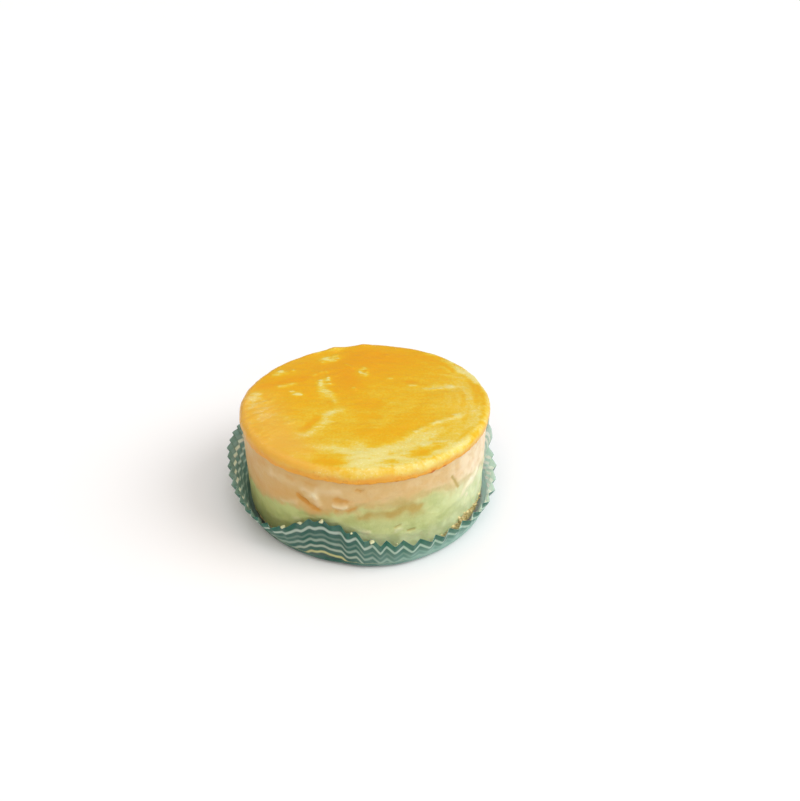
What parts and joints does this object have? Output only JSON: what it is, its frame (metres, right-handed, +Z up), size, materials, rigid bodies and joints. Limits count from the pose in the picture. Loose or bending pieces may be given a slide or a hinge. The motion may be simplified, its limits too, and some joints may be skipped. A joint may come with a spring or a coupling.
{
  "type": "cheesecake",
  "caption": "Small round layered cheesecake with a glazed sponge disc on top and a pleated paper case round its base.",
  "frame": {"origin": "centre of the underside, on the cake's axis", "axes": "+Z up; -Y is the side that the picture shows nearest, with the case pressed on the cake just left of it"},
  "size_m": [0.1022, 0.0999, 0.0395],
  "materials": {
    "case_paper": "matte, striped",
    "base_sponge": "crumbly baked sponge",
    "green_cream": "soft set cream cheese, pale green",
    "peach_cream": "soft set cream cheese, peach white",
    "glazed_sponge": "golden sponge under clear glaze"
  },
  "bodies": {
    "root": {"paper_case": "case_paper", "sponge_base": "base_sponge", "green_layer": "green_cream", "cream_layer": "peach_cream", "sponge_top": "glazed_sponge"}
  },
  "joints": []
}
